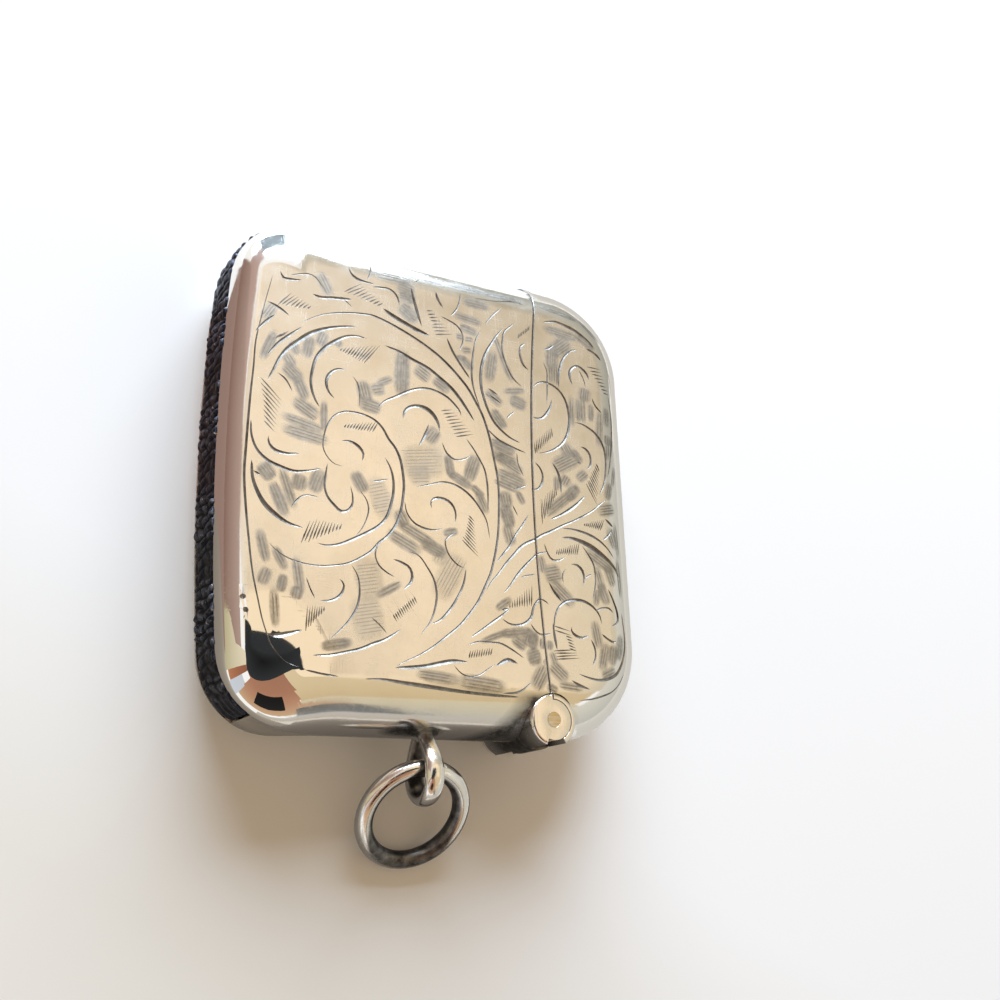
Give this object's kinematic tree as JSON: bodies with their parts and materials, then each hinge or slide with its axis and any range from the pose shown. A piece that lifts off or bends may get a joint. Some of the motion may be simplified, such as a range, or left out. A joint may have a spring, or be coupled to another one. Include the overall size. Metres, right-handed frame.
{
  "type": "vesta case",
  "caption": "Engraved silver pocket match box with a side-hinged sprung lid, a serrated striker on its base end, and a suspension loop with a ring.",
  "frame": {"origin": "middle of the case's plan, on its flat back", "axes": "+X from the striker end to the lid end, +Y away from the hinge side, +Z out of the engraved front"},
  "size_m": [0.0371, 0.0499, 0.0084],
  "materials": {
    "engraved_silver": "hand-engraved silver, worn bright on the high leaves and tarnished in the cuts",
    "silver": "polished silver with fine scratches and light tarnish",
    "oxidised_silver": "dark blue-black oxidised serrations",
    "gilt": "thin worn gilding",
    "pin_metal": "rubbed pin end, yellower than the silver",
    "spring_steel": "dull spring steel"
  },
  "bodies": {
    "case": {"body_front": "engraved_silver", "body_rear": "silver", "base_plate": "silver", "striker": "oxidised_silver", "mouth_rim": "gilt", "front_knuckle": "silver", "rear_knuckle": "silver", "hinge_pin": "pin_metal", "leaf_spring": "spring_steel", "spring_block": "gilt", "spring_rivets": "spring_steel", "loop_foot": "silver", "suspension_loop": "silver"},
    "lid": {"lid_front": "engraved_silver", "lid_rear": "silver", "thumb_lip": "silver", "front_ear": "silver", "rear_ear": "silver", "lid_knuckle": "silver"},
    "ring": {"suspension_ring": "silver"}
  },
  "joints": [
    {"name": "lid_hinge", "type": "hinge", "parent": "case", "child": "lid", "pos_m": [0.00861, -0.0187, 0.0042], "axis": [0, 0, -1], "range_deg": [0, 46]},
    {"name": "ring_swing", "type": "hinge", "parent": "case", "child": "ring", "pos_m": [-0.0011, -0.0223, 0.0053], "axis": [-1, 0, 0], "range_deg": [-50, 140]}
  ]
}
